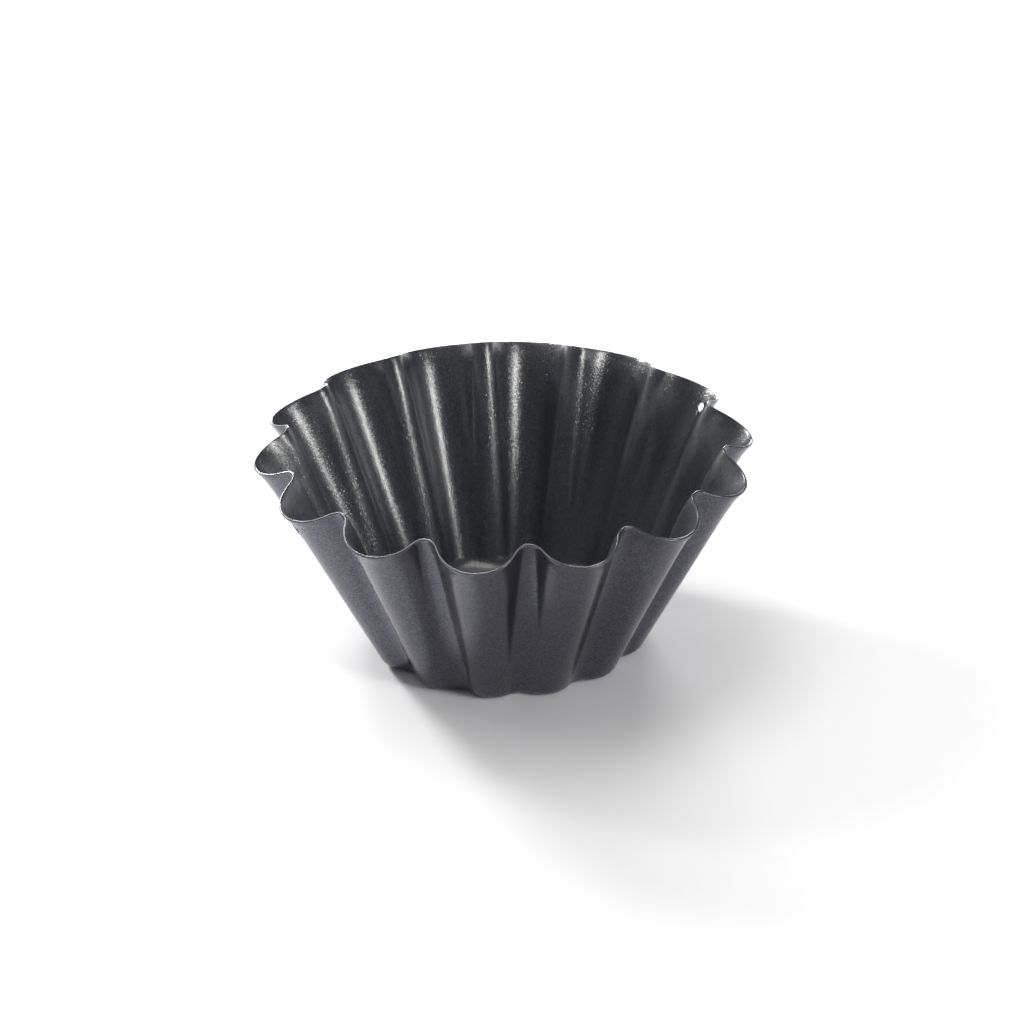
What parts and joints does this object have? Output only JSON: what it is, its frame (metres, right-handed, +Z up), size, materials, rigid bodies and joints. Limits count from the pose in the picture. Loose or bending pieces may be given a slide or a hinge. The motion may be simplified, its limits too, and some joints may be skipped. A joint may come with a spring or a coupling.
{
  "type": "brioche mould",
  "caption": "Small fluted brioche mould of thin coated steel: a flat base, a wide leaning wall of rounded flutes, a wavy bent edge and hanging holes in opposite flutes.",
  "frame": {"origin": "centre of the flat base, on the surface that the mould stands on", "axes": "+Z up along the mould's axis, +X through the middle of a flute that has a hanging hole"},
  "size_m": [0.1, 0.098, 0.0443],
  "materials": {
    "coated_steel": "satin grey metallic coating outside, darker semi-gloss non-stick coating inside"
  },
  "bodies": {
    "root": {"fluted_shell": "coated_steel"}
  },
  "joints": []
}
